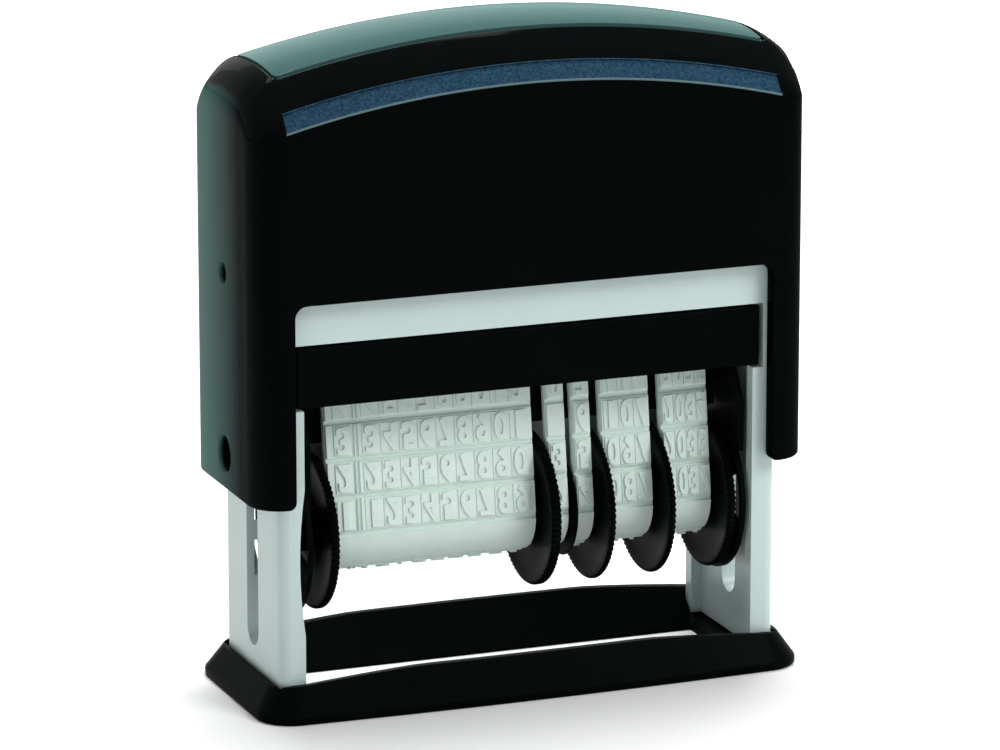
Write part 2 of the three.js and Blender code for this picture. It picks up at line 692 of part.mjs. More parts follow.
// The middle line of a spring's wire, a plain helix: its angle and height at each step.
function springLine() {
  const low = deckTop + gap + wireRadius;
  const high = springSeat - gap - wireRadius;
  const steps = springTurns * springSteps;
  return Array.from({ length: steps + 1 }, (_, i) => {
    const angle = (2 * Math.PI * i) / springSteps;
    return [angle, low + ((high - low) * i) / steps];
  });
}

// A return spring: its wire is one tube of five sides.
function returnSpring(x) {
  const sides = 5;
  const rings = springLine().map(([angle, z]) => circle(0, 0, wireRadius, sides).map(([out, up]) => {
    const reach = springRadius - out;
    return [x + reach * Math.cos(angle), reach * Math.sin(angle), z + up];
  }));
  return loft(rings);
}

// The least clear gap between neighbouring turns of a spring, over all its points.
function springSelfGap() {
  const points = springLine().map(([angle, z]) => {
    return new THREE.Vector3(springRadius * Math.cos(angle), springRadius * Math.sin(angle), z);
  });
  const past = springSteps / 2;
  const clear = (a, b) => a.distanceTo(b) - 2 * wireRadius;
  const gaps = points.flatMap((a, i) => points.slice(i + past).map((b) => clear(a, b)));
  return Math.min(...gaps);
}

// Everything threaded on the wheel axle, from the left: wheels, bands and the spacer. The
// phrase band takes the width that the rest leaves.
function axleStack() {
  const order = [
    ['wheel', 'phrase', edgeWheel],
    ['band', 'phrase', 0],
    ['wheel', 'tens', tensWheel],
    ['band', 'tens', tensWidth],
    ['spacer', 'disc', spacerThick],
    ['band', 'units', unitsWidth],
    ['wheel', 'units', unitsWheel],
    ['band', 'month', monthWidth],
    ['wheel', 'month', monthWheel],
    ['band', 'year', yearWidth],
    ['wheel', 'year', edgeWheel],
  ];
  const room = 2 * plateInside - stackLeftRun - stackRightRun;
  const taken = order.reduce((sum, [, , width]) => sum + width + gap, -gap);
  order[1][2] = room - taken;
  let x = stackLeft;
  return order.map(([kind, name, width]) => {
    const place = { kind, name, left: x, right: x + width };
    x += width + gap;
    return place;
  });
}

const group = new THREE.Group();
group.add(meshOf('cap_shell', capShell(), gloss));
group.add(meshOf('frame', frame(), paleGrey));
group.add(meshOf('base', base(), satinBlack));
group.add(meshOf('cartridge_tray', cartridgeTray(), satinBlack));
group.add(meshOf('ink_pad', inkPad(), felt));
group.add(meshOf('carrier_plate_left', carrierPlate(-1), satinBlack));
group.add(meshOf('carrier_plate_right', carrierPlate(1), satinBlack));
group.add(meshOf('type_platform', typePlatform(), satinBlack));
const axle = circle(0, axleHeight, axleRadius, 16);
group.add(meshOf('wheel_axle', prism('x', axle, -plateOutside, plateOutside), steel));
group.add(meshOf('return_spring_left', returnSpring(-springPlace), steel));
group.add(meshOf('return_spring_right', returnSpring(springPlace), steel));

const stack = axleStack();
for (const { kind, name, left, right } of stack) {
  if (kind === 'band') {
    group.add(meshOf(`band_${name}`, band(left, right), paleRubber));
  }
  if (kind === 'spacer') {
    const rim = circle(0, axleHeight, spacerRadius, 36);
    const bore = circle(0, axleHeight, axleRadius + gap, 16);
    group.add(meshOf('spacer_disc', prism('x', rim, left, right, [bore]), satinBlack));
  }
  if (kind === 'wheel') {
    const own = stack.find((place) => place.kind === 'band' && place.name === name);
    const hubEnd = own.left > right ? own.right : own.left;
    const collarEnd = left === stackLeft ? gap - plateInside : left;
    const wheel = thumbwheel(left, right, hubEnd, collarEnd);
    group.add(meshOf(`thumbwheel_${name}`, wheel, satinBlack));
  }
}
console.log(`least gap between the turns of a return spring: ${springSelfGap().toFixed(2)} mm`);

export default group;
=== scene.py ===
# %% [markdown]
# A self-inking date stamp, dressed in Blender around its engineering model.
#
# The engineering model says where every piece is and how it moves. This file makes the
# same pieces again as fine surfaces, gives each one its finish, and places the camera,
# the floor and the lamps. All sizes below are millimetres until they go into a mesh or a
# shader. Only the lamps are placed in metres.

# %% Load the engineering model
import json
from math import atan2, hypot, pi, radians

import bmesh
import bpy
import numpy as np
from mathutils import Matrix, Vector


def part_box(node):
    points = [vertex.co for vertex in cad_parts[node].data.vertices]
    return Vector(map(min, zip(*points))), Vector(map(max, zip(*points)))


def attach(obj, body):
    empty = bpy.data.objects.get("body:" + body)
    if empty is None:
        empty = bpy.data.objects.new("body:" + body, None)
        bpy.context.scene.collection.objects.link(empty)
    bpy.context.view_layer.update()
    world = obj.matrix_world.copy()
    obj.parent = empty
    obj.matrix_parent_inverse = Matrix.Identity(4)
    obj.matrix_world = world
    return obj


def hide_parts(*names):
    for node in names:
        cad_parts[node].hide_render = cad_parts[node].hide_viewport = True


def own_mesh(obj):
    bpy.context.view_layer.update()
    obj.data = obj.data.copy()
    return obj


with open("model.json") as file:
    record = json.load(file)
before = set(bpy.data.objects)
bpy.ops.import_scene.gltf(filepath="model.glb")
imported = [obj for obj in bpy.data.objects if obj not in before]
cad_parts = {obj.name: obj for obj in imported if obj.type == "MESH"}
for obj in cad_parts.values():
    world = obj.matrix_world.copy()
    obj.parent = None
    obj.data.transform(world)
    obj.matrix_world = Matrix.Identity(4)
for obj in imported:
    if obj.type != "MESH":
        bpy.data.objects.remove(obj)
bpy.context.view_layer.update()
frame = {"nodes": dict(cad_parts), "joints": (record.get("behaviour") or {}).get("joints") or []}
MM = 0.001  # one millimetre in Blender's metres


def span(node):
    """The lowest and highest corners of an engineering node, in millimetres."""
    low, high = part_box(node)
    return np.array(low) / MM, np.array(high) / MM


cap_low, cap_high = span("cap_shell")
cap_half, cap_half_depth = (cap_high - cap_low)[:2] / 2
frame_high = span("frame")[1]
joints = {joint["name"]: joint for joint in frame["joints"]}
pivot_height = joints["print_unit_turn"]["pos_m"][2] / MM
axle_height = joints["phrase_wheel_turn"]["pos_m"][2] / MM
print("stamp", (cap_high - cap_low).round(1), "pivot", pivot_height, "axle", axle_height)

# %% [markdown]
# The camera stands where the photographer stood: to the front left, a little above the
# stamp, and far away with a long lens, so that upright edges stay almost parallel.

# %% Camera
VIEW_AZIMUTH = radians(21.2)  # towards the left of the front
VIEW_PITCH = radians(14.53)  # looking down
VIEW_DISTANCE = 756.3
VIEW_TARGET = np.array([-0.09, 0, 37.09])
FOCAL_SHARE = 6.228  # focal length as a share of the picture's width

towards = np.array([-np.sin(VIEW_AZIMUTH) * np.cos(VIEW_PITCH),
                    -np.cos(VIEW_AZIMUTH) * np.cos(VIEW_PITCH), np.sin(VIEW_PITCH)])
camera_data = bpy.data.cameras.new("photo_camera")
camera_data.lens = camera_data.sensor_width * FOCAL_SHARE
camera_data.clip_start = 0.05
camera = bpy.data.objects.new("photo_camera", camera_data)
camera.location = (VIEW_TARGET + VIEW_DISTANCE * towards) * MM
camera.rotation_euler = Vector(-towards).to_track_quat("-Z", "Y").to_euler()
bpy.context.scene.collection.objects.link(camera)
bpy.context.scene.camera = camera
bpy.context.scene.view_settings.view_transform = "Standard"
print("camera at", [round(c / MM) for c in camera.location], "lens", round(camera_data.lens))

# %% [markdown]
# Shader sums are easier to read as sums. `Value` wraps one output of a node, and adding
# or multiplying two of them adds the Math node that does it. `Finish` is one material:
# its `node` method makes any other node, sets it up and joins its inputs.


# %% Shader maths
class Value:
    """One output of a node: a number, or a colour, that may change over a surface."""

    def __init__(self, finish, socket):
        self.finish = finish
        self.socket = socket

    def sum(self, operation, first, second):
        """The Math node that works on two values or numbers."""
        settings = {"operation": operation}
        return self.finish.node("ShaderNodeMath", settings, {0: first, 1: second})

    def __add__(self, other):
        return self.sum("ADD", self, other)

    def __sub__(self, other):
        return self.sum("SUBTRACT", self, other)

    def __rsub__(self, other):
        return self.sum("SUBTRACT", other, self)

    def __mul__(self, other):
        return self.sum("MULTIPLY", self, other)

    def __gt__(self, other):
        return self.sum("GREATER_THAN", self, other)

    def __lt__(self, other):
        return self.sum("LESS_THAN", self, other)

    def __abs__(self):
        return self.sum("ABSOLUTE", self, 0)

    __radd__ = __add__
    __rmul__ = __mul__


class Finish:
    """One procedural material around a Principled shader."""

    def __init__(self, name, **uniform):
        self.material = bpy.data.materials.new(name)
        self.material.use_nodes = True
        self.tree = self.material.node_tree
        self.shader = self.tree.nodes["Principled BSDF"]
        for key, value in uniform.items():
            socket = key.replace("_", " ").title().replace("Ior", "IOR")
            self.shader.inputs[socket].default_value = value
        self.place = self.node("ShaderNodeTexCoord", output="Object")
        split = {0: self.place}
        self.x, self.y, self.z = (
            self.node("ShaderNodeSeparateXYZ", sockets=split, output=i) for i in range(3))

    def node(self, kind, settings=None, sockets=None, output=0):
        """Any node: its settings first, then its sockets, as numbers or as links."""
        made = self.tree.nodes.new(kind)
        for key, value in (settings or {}).items():
            if key == "stops":
                ramp = made.color_ramp.elements
                for stop, (position, grey) in zip(ramp, value):
                    stop.position = position
                    stop.color = (grey, grey, grey, 1)
            else:
                setattr(made, key, value)
        for key, value in (sockets or {}).items():
            if isinstance(value, Value):
                self.tree.links.new(value.socket, made.inputs[key])
            else:
                made.inputs[key].default_value = value
        return Value(self, made.outputs[output])

    def noise(self, size, detail=3, stretch=(1, 1, 1)):
        """Smooth noise with features of a size in millimetres, longer along an axis whose
        stretch is small."""
        pulled = self.node("ShaderNodeMapping", sockets={"Vector": self.place, "Scale": stretch})
        return self.node("ShaderNodeTexNoise", sockets={
            "Vector": pulled, "Scale": 1 / (size * MM), "Detail": detail})

    def ramp(self, value, low, high):
        """0 where the value is below low, 1 where it is above high."""
        return self.node("ShaderNodeValToRGB", {"stops": [(low, 0), (high, 1)]}, {0: value})

    def mix(self, factor, first, second):
        """A colour between two colours."""
        first, second = (colour if isinstance(colour, Value) else (*colour, 1)
                         for colour in (first, second))
        return self.node("ShaderNodeMix", {"data_type": "RGBA"},
                         {0: factor, 6: first, 7: second}, output=2)

    def feed(self, socket, value):
        """Joins a value to a socket of the shader."""
        self.tree.links.new(value.socket, self.shader.inputs[socket])

    def relief(self, height, depth):
        """Bumps of a depth in millimetres."""
        bump = self.node("ShaderNodeBump", sockets={"Height": height, "Distance": depth * MM})
        self.feed("Normal", bump)


# %% [markdown]
# The cap is glossy moulded plastic, almost black. What makes it look real is what it
# reflects: its clear gloss is a coat, which is thin on the front face and fuller behind
# it, and weaker along hairline scratches. The side walls and the panel on the crown have
# a painted teal reflection in their colour, densest towards the back. The sunk band along
# the front and the back of the crown is dull, with a fine grain and a painted slate blue
# reflection in its colour, and a highlight is painted along its lower edge. Masks made
# from the place on the cap say where each of these is.

# %% Cap finish
CROWN_LOW = 60  # the crown's own colours are only above this height
BAND_END = 31.5  # half the length of the sunk band
BAND_DEPTHS = (10.62, 12.33)  # it lies between these distances from the middle
# Beyond this distance from the middle a highlight is painted along the band's lower edge
EDGE_HIGHLIGHT_DEPTH = 12.22
PANEL_HALF = 31.4  # half sizes of the flat panel on the crown
PANEL_HALF_DEPTH = 7.15
REFLECTION_BACK = 12.0  # both painted reflections are densest here, and fade towards the front
REFLECTION_FRONT = -6.0
SIDE_REFLECTION_EDGE = (0.982, 0.995)  # shares of the way out to a side wall, where its painted reflection sets in
FACE_EDGE = (0.78, 0.97)  # shares of the way out to the face, where the coat thins
LEAST_SHINE, MOST_SHINE = 0.03, 0.24  # the coat on the front face, and behind it
HAIRLINES = (0.66, 0.72)  # only the crests of a long thin noise are scratches
GRAIN_EDGE = (0.35, 0.7)  # from the dark of the grain to its light

cap_gloss = Finish("gloss_black_plastic", specular_ior_level=0.0, coat_roughness=0.08)
wipes = cap_gloss.noise(9, detail=4, stretch=(1, 1, 0.35))
hairs = cap_gloss.ramp(cap_gloss.noise(1.4, detail=2, stretch=(0.06, 1, 1)), *HAIRLINES)
grain = cap_gloss.noise(0.35, detail=4)

side, depth = abs(cap_gloss.x), abs(cap_gloss.y)
on_crown = cap_gloss.z > CROWN_LOW * MM
in_band = ((depth > BAND_DEPTHS[0] * MM) * (depth < BAND_DEPTHS[1] * MM)
           * (side < BAND_END * MM) * on_crown)
# Where the highlight is painted along the lower edge of the sunk band.
painted_edge_highlight = in_band * (depth > EDGE_HIGHLIGHT_DEPTH * MM)
on_panel = (side < PANEL_HALF * MM) * (depth < PANEL_HALF_DEPTH * MM) * on_crown
on_side = cap_gloss.ramp(side * (1 / cap_half / MM), *SIDE_REFLECTION_EDGE)
towards_face = cap_gloss.ramp(depth * (1 / cap_half_depth / MM), *FACE_EDGE)
past_front = cap_gloss.y - REFLECTION_FRONT * MM
towards_back = cap_gloss.ramp(past_front * (1 / (REFLECTION_BACK - REFLECTION_FRONT) / MM), 0, 1)

black = cap_gloss.mix(wipes, (0.0005, 0.001, 0.001), (0.0012, 0.0022, 0.0022))
# Painted reflection: the teal colour of the side walls stands in for the light they mirror,
# lighter towards the back.
painted_side_reflection = cap_gloss.mix(
    towards_back * (0.8 + 0.4 * wipes), (0.0005, 0.003, 0.003), (0.075, 0.20, 0.175))
# Painted reflection: the teal colour of the panel stands in for the light it mirrors, lighter
# towards the back.
painted_panel_reflection = cap_gloss.mix(
    towards_back * (0.7 + 0.6 * wipes), (0.045, 0.10, 0.095), (0.125, 0.24, 0.225))
smooth = cap_gloss.mix(on_panel, cap_gloss.mix(on_side, black, painted_side_reflection), painted_panel_reflection)
# Painted reflection: the slate blue of the sunk band stands in for the light that its slope
# mirrors; the grain varies it.
painted_band_reflection = cap_gloss.mix(
    cap_gloss.ramp(grain, *GRAIN_EDGE), (0.010, 0.032, 0.060), (0.028, 0.070, 0.115))
# The sunk band's lower edge gets a painted highlight colour.
colour = cap_gloss.mix(painted_edge_highlight, cap_gloss.mix(in_band, smooth, painted_band_reflection), (0.10, 0.16, 0.17))
cap_gloss.feed("Base Color", colour)
fullness = (1 - towards_face) * (0.2 + 0.8 * towards_back)
shine = LEAST_SHINE + (MOST_SHINE - LEAST_SHINE) * fullness
cap_gloss.feed("Coat Weight", shine * (1 - 0.3 * hairs) * (1 - 0.8 * in_band))
cap_gloss.feed("Roughness", 0.5 + 0.2 * wipes)
cap_gloss.relief(cap_gloss.noise(2.6, detail=2) + in_band * grain, 0.008)
print("made", cap_gloss.material.name)

# %% [markdown]
# The wheels, the foot, the tray and the carrier are the same plastic with a fine satin
# texture from the mould: tiny bumps, and a sheen that varies a little.

# %% Satin black finish
satin_black = Finish("satin_black_plastic", specular_ior_level=0.012,
                     specular_tint=(0.75, 1.0, 0.92, 1))
patches = satin_black.noise(6)
satin_black.feed("Base Color", satin_black.mix(
    patches, (0.0006, 0.0014, 0.0012), (0.0015, 0.003, 0.0026)))
satin_black.feed("Roughness", 0.3 + 0.16 * patches)
satin_black.relief(satin_black.noise(0.22, detail=2), 0.012)
print("made", satin_black.material.name)

# %% [markdown]
# The frame is pale grey-green plastic with a soft sheen. Its colour drifts slightly, as
# moulded plastic does along its flow, and its skin is finely dulled.

# %% Pale frame finish
pale_plastic = Finish("pale_satin_plastic", specular_ior_level=0.5)
flow = pale_plastic.noise(14, stretch=(1, 1, 0.4))
pale_plastic.feed("Base Color", pale_plastic.mix(
    flow, (0.50, 0.63, 0.61), (0.56, 0.685, 0.665)))
pale_plastic.feed("Roughness", 0.28 + 0.14 * pale_plastic.noise(3, detail=4))
pale_plastic.relief(pale_plastic.noise(0.3, detail=2), 0.006)
print("made", pale_plastic.material.name)

# %% [markdown]
# The bands are pale rubber: matt, finely grained and slightly blotchy. The grain is much
# finer than the type, so that the type keeps its sharp edges.

# %% Rubber finish
pale_rubber = Finish("pale_band_rubber", specular_ior_level=0.4)
blotches = pale_rubber.noise(2.2, detail=5)
pale_rubber.feed("Base Color", pale_rubber.mix(
    blotches, (0.66, 0.80, 0.74), (0.74, 0.86, 0.81)))
pale_rubber.feed("Roughness", 0.45 + 0.2 * blotches)
pale_rubber.relief(pale_rubber.noise(0.12), 0.01)
print("made", pale_rubber.material.name)

# %% [markdown]
# Two finishes are mostly hidden: the drawn steel of the springs and the axle, whose fine
# streaks come from pulling the wire through its die, and the inked felt of the pad.

# %% Steel and felt finishes
drawn_steel = Finish("drawn_steel", metallic=1.0)
drawing = drawn_steel.noise(0.25, detail=2, stretch=(1, 1, 0.2))
drawn_steel.feed("Base Color", drawn_steel.mix(
    drawing, (0.50, 0.50, 0.51), (0.66, 0.66, 0.67)))
drawn_steel.feed("Roughness", 0.22 + 0.16 * drawing)

inked_felt = Finish("inked_felt", roughness=0.95, sheen_weight=0.4)
fibres = inked_felt.noise(0.3, detail=6, stretch=(1, 0.4, 1))
inked_felt.feed("Base Color", inked_felt.mix(
    fibres, (0.008, 0.008, 0.014), (0.03, 0.03, 0.045)))
inked_felt.relief(fibres, 0.12)
print("made", drawn_steel.material.name, "and", inked_felt.material.name)

# %% [markdown]
# Every new surface is a grid of points. A grid is a table of rows, and each row is a
# list of points, so a whole shape is one numpy array. A direction that closes on itself,
# like the way round a wheel, joins its last point to its first one.

# %% Grids of points into meshes
MERGE = 0.002  # points closer than this are one point


def tidy_mesh(mesh):
    """Merges doubled points and turns every face outwards."""
    work = bmesh.new()
    work.from_mesh(mesh)
    bmesh.ops.remove_doubles(work, verts=work.verts, dist=MERGE * MM)
    bmesh.ops.recalc_face_normals(work, faces=work.faces)
    work.to_mesh(mesh)
    work.free()


def grid_faces(rows, columns, round_rows):
    """Quads between neighbouring rows and columns. Columns always close."""
    row, column = np.meshgrid(np.arange(rows if round_rows else rows - 1),
                              np.arange(columns), indexing="ij")
    next_row, next_column = (row + 1) % rows, (column + 1) % columns
    quads = [row * columns + column, row * columns + next_column,
             next_row * columns + next_column, next_row * columns + column]
    return np.stack(quads, -1).reshape(-1, 4)


def placed(name, data):
    """A new object in the scene, at the origin, that holds a mesh or other data."""
    piece = bpy.data.objects.new(name, data)
    bpy.context.scene.collection.objects.link(piece)
    return piece


def body_of(name, points, faces):
    """A closed body from points in millimetres and faces of any shape."""
    mesh = bpy.data.meshes.new(name)
    mesh.from_pydata((points * MM).tolist(), [], faces)
    tidy_mesh(mesh)
    return placed(name, mesh)


def surface(name, grid, round_rows=False):
    """A closed body from a grid of points; rows that don't close get a flat lid."""
    rows, columns = grid.shape[:2]
    faces = grid_faces(rows, columns, round_rows).tolist()
    if not round_rows:
        faces += [list(range(columns)), list(range((rows - 1) * columns, rows * columns))]
    return body_of(name, grid.reshape(-1, 3), faces)


def finished(piece):
    """A new mesh of the piece as its modifiers leave it."""
    bpy.context.view_layer.update()
    evaluated = piece.evaluated_get(bpy.context.evaluated_depsgraph_get())
    return bpy.data.meshes.new_from_object(evaluated)


def carve(piece, *cutters):
    """Cuts the cutters away from the piece and deletes them."""
    for cutter in cutters:
        cut = piece.modifiers.new("cut", "BOOLEAN")
        cut.object = cutter
        cut.solver = "EXACT"
    carved = finished(piece)
    piece.modifiers.clear()
    piece.data = carved
    for cutter in cutters:
        bpy.data.objects.remove(cutter)


def dress(piece, body, slot, finish, *nodes, crease=28):
    """Shades the piece smooth up to a crease, in degrees, gives it its finish and its
    body, and hides the engineering nodes that it stands for."""
    piece.data.polygons.foreach_set("use_smooth", np.ones(len(piece.data.polygons), bool))
    piece.data.set_sharp_from_angle(angle=radians(crease))
    even = piece.modifiers.new("even shading", "WEIGHTED_NORMAL")
    even.keep_sharp = True
    piece.data.materials.clear()
    piece.data.materials.append(finish.material)
    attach(piece, body)
    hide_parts(*nodes)
    print(piece.name, len(piece.data.polygons), "faces")


# %% [markdown]
# Many outlines here are rectangles with rounded corners. `rounded_loop` walks once round
# such a rectangle with the same number of points whatever its size, so loops of
# different sizes can be joined ring to ring.

# %% Rounded rectangles
CORNER_STEPS = 12
SHORT_STEPS = 8  # along each short side


def rounded_loop(half_x, half_y, corner, bow=0.0, side_steps=26):
    """Points [x, y] round a rectangle: quarter circles joined by straight sides, where
    the two long sides may swell by a parabola of a height bow."""
    angle = np.linspace(0, pi / 2, CORNER_STEPS + 1)
    quarter = np.stack([half_x - corner + corner * np.cos(angle),
                        half_y - corner + corner * np.sin(angle)], -1)
    share = np.linspace(1, -1, side_steps + 1)[1:-1]
    long_side = np.stack([(half_x - corner) * share, half_y + bow * (1 - share ** 2)], -1)
    other = (quarter * [-1, 1])[::-1]
    short = np.linspace(1, -1, SHORT_STEPS + 1)[1:-1]
    left_side = np.stack([np.full(len(short), -half_x), (half_y - corner) * short], -1)
    half = np.concatenate([quarter, long_side, other, left_side])
    return np.concatenate([half, -half])


def ring(loop, height):
    """A flat loop as a row of points at a height, which may be one per point."""
    return np.column_stack([loop, np.broadcast_to(height, len(loop))])


# %% [markdown]
# The cap is one shell. Seen from the front its top is a long arch that turns down at
# both ends; seen from the side it falls away from a flat middle; seen from above it is a
# rectangle with rounded corners. The height of any point is the arch's height less the
# fall, and a small rounding where the top meets the walls.

# %% Cap, outer form
ARCH_RADIUS = 127
ARCH_CORNER = 5.5
CAP_EDGE = 4.0  # radius of the upright corners
INNER_EDGE = 0.75  # share of that radius which the loops further in start from
TOP_ROUNDING = 0.5
FOOT_ROUNDING = 0.5
CROWN_FLAT = 6.9  # from the middle to the crease where the shoulder starts
CROWN_FALL = 0.6
SHOULDER_DEPTH = 10.6
SHOULDER_FALL = 4.15
SHOULDER_SLOPES = (0.65, 1.14)  # where the shoulder starts and where it ends
ROUNDING_STEPS = 8
CROWN_RINGS = 30
WALL_RINGS = 7
arch_centre = cap_high[2] - ARCH_RADIUS


def arch_height(x, half_width=cap_half, corner=ARCH_CORNER):
    """Height of the arch at x: a large circle, then the smaller circle of the corner."""
    reach = half_width - corner
    rise = np.sqrt((ARCH_RADIUS - corner) ** 2 - reach ** 2)
    tangent = reach * ARCH_RADIUS / (ARCH_RADIUS - corner)
    out = np.abs(x)
    large = np.sqrt(ARCH_RADIUS ** 2 - np.minimum(out, tangent) ** 2)
    small = rise + np.sqrt(np.maximum(corner ** 2 - (out - reach) ** 2, 0))
    return arch_centre + np.where(out < tangent, large, small)


def crown_fall(y):
    """How far the crown has fallen at y: a gentle parabola across the panel, a crease, a
    cubic down the shoulder, 2s^3 - 3s^2 + 1 and its kin, and a straight slope."""
    depth = np.abs(y)
    run = SHOULDER_DEPTH - CROWN_FLAT
    share = np.clip((depth - CROWN_FLAT) / run, 0, 1)
    cubic = ((2 * share ** 3 - 3 * share ** 2 + 1) * CROWN_FALL
             + (share ** 3 - 2 * share ** 2 + share) * SHOULDER_SLOPES[0] * run
             + (3 * share ** 2 - 2 * share ** 3) * SHOULDER_FALL
             + (share ** 3 - share ** 2) * SHOULDER_SLOPES[1] * run)
    beyond = np.maximum(depth - SHOULDER_DEPTH, 0) * SHOULDER_SLOPES[1]
    panel = CROWN_FALL * (depth / CROWN_FLAT) ** 2
    return np.where(depth < CROWN_FLAT, panel, cubic) + beyond


def cap_loop(inset):
    """The cap's outline from above, moved in. Near the wall it keeps its distance, and
    further in its corners grow sharp."""
    sharp = CAP_EDGE * INNER_EDGE * (1 - inset / cap_half_depth)
    return rounded_loop(cap_half - inset, cap_half_depth - inset, max(CAP_EDGE - inset, sharp))


def cap_outer():
    """Rings from the crest's ridge out to the wall, then down to the foot."""
    quarter = np.linspace(0, pi / 2, ROUNDING_STEPS + 1)
    insets = np.concatenate([np.linspace(cap_half_depth, TOP_ROUNDING, CROWN_RINGS),
                             TOP_ROUNDING * (1 - np.sin(quarter))[1:]])
    rows = []
    for inset in insets:
        loop = cap_loop(inset)
        near = max(TOP_ROUNDING - inset, 0)
        rounding = TOP_ROUNDING - np.sqrt(TOP_ROUNDING ** 2 - near ** 2)
        height = arch_height(loop[:, 0]) - crown_fall(loop[:, 1]) - rounding
        rows.append(ring(loop, height))
    top, foot = rows[-1], cap_low[2] + FOOT_ROUNDING
    for share in np.linspace(0, 1, WALL_RINGS + 1)[1:]:
        wall = top.copy()
        wall[:, 2] = top[:, 2] * (1 - share) + foot * share
        rows.append(wall)
    for turn in quarter[1:]:
        inset = FOOT_ROUNDING * (1 - np.cos(turn))
        rows.append(ring(cap_loop(inset), foot - FOOT_ROUNDING * np.sin(turn)))
    return surface("cap", np.array(rows))


cap = cap_outer()
print("cap outer form", len(cap.data.polygons), "faces")

# %% [markdown]
# The shell is hollow, and it has a window in front and behind. A cutter with flared lips
# leaves a rounded edge where it comes out of the wall, which catches the light as a
# moulded edge does.

# %% Cap, hollow and windows
SIDE_WALL = 2.9
FRONT_WALL = 1.7
ROOF = 1.8
HOLLOW_CORNER = 1.2
HOLLOW_FALL = 3.98  # how far its roof has fallen at the front and the back
HOLLOW_RINGS = 16
WINDOW_HALF = 30.55
WINDOW_TOP = frame_high[2] - 0.2
WINDOW_CORNER = 1.5
LEG_CORNER = 1.0  # where the window's sides meet the foot of the cap
LIP = 0.35  # radius of the rounded lips
OVERRUN = 3.0  # how far a cutter starts outside the face
CUT_END = 5  # how far it ends inside
PIVOT_HOLE = 2.15
CATCH_HOLE = 1.15
CATCH_HEIGHT = frame_high[2] + 1.8
LEG_POINTS, TOP_POINTS, HOLE_POINTS = 7, 9, 48  # on the round parts of the outlines
lip_turn = np.linspace(0, pi / 2, LEG_POINTS)
cut_depths = np.concatenate([[-OVERRUN], LIP * (1 - np.cos(lip_turn)), [CUT_END]])


def cap_hollow():
    """Rings of the hollow, from its roof down past the foot. The roof is a narrower arch,
    moved down by its thickness, less a fall in two straight parts."""
    half = cap_half - SIDE_WALL
    half_depth = cap_half_depth - FRONT_WALL
    rows = []
    for inset in np.linspace(half_depth, 0, HOLLOW_RINGS):
        corner = HOLLOW_CORNER * (1 - inset / half_depth)
        loop = rounded_loop(half - inset, half_depth - inset, corner)
        fall = np.interp(np.abs(loop[:, 1]), [0, CROWN_FLAT, half_depth],
                         [0, CROWN_FALL, HOLLOW_FALL])
        roof = arch_height(loop[:, 0], half, ARCH_CORNER - SIDE_WALL) - ROOF - fall
        rows.append(ring(loop, roof))
    rows.append(ring(loop, cap_low[2] - OVERRUN))
    return surface("hollow", np.array(rows))


def lip_flare(depth):
    """How far a rounded lip has opened at a depth below the face: a quarter circle."""
    inside = np.clip(LIP - depth, 0, LIP)
    return LIP - np.sqrt(LIP ** 2 - inside ** 2)


def window_outline(flare):
    """Points [x, z] of the window, opened on all sides by the flare."""
    leg = np.linspace(1.5 * pi, pi, LEG_POINTS)
    top = np.linspace(0, pi / 2, TOP_POINTS)
    radius = LEG_CORNER - flare
    outer = WINDOW_HALF + LEG_CORNER
    foot = cap_low[2] + LEG_CORNER
    wide = WINDOW_CORNER + flare
    right = np.concatenate([
        [[outer, cap_low[2] - OVERRUN]],
        np.stack([outer + radius * np.cos(leg), foot + radius * np.sin(leg)], -1),
        np.stack([WINDOW_HALF - WINDOW_CORNER + wide * np.cos(top),
                  WINDOW_TOP - WINDOW_CORNER + wide * np.sin(top)], -1)])
    return np.concatenate([right, (right * [-1, 1])[::-1]])


def window_cutter(side):
    """The window's prism through one wall, flared at the outer face."""
    rows = []
    for depth in cut_depths:
        outline = window_outline(lip_flare(depth))
        y = np.full(len(outline), side * (cap_half_depth - depth))
        rows.append(np.stack([outline[:, 0], y, outline[:, 1]], -1))
    return surface("window", np.array(rows))


def hole_cutter(side, height, radius):
    """A round hole through one side wall, flared at the outer face."""
    angle = np.linspace(0, 2 * pi, HOLE_POINTS, endpoint=False)
    rows = []
    for depth in cut_depths:
        wide = radius + lip_flare(depth)
        x = np.full(len(angle), side * (cap_half - depth))
        rows.append(np.stack([x, wide * np.cos(angle), height + wide * np.sin(angle)], -1))
    return surface("hole", np.array(rows))


carve(cap, cap_hollow(), window_cutter(-1), window_cutter(1))
for side in (-1, 1):
    carve(cap, hole_cutter(side, pivot_height, PIVOT_HOLE),
          hole_cutter(side, CATCH_HEIGHT, CATCH_HOLE))
print("cap shell", len(cap.data.polygons), "faces")

# %% [markdown]
# Two details of the crown catch the eye: a sunk band along its front and back edge, and
# a fine groove round the flat panel on top. Both are cut, so both are real geometry, and
# both have the lengths that the masks of the finish use.

# %% Cap, sunk band and panel groove
BAND_SECTION = np.array([[10.6, 4.4], [13.2, 7.37], [14.4, 3.2], [12.0, 2.9]])  # [depth, fall]
GROOVE_HALF = 0.25  # half its width
GROOVE_DEPTH = 0.4
PANEL_CORNER = 1.0
ARCH_STEPS = 90  # along the arch


def sunk_band(side):
    """A four-sided bar swept along the arch; its floor is the sloping face of the band."""
    x = np.linspace(-BAND_END, BAND_END, ARCH_STEPS)[:, None]
    arch = arch_centre + np.sqrt(ARCH_RADIUS ** 2 - x ** 2)
    depth, fall = BAND_SECTION.T
    return surface("sunk_band", np.stack(
        np.broadcast_arrays(x, side * depth, arch - fall), -1))


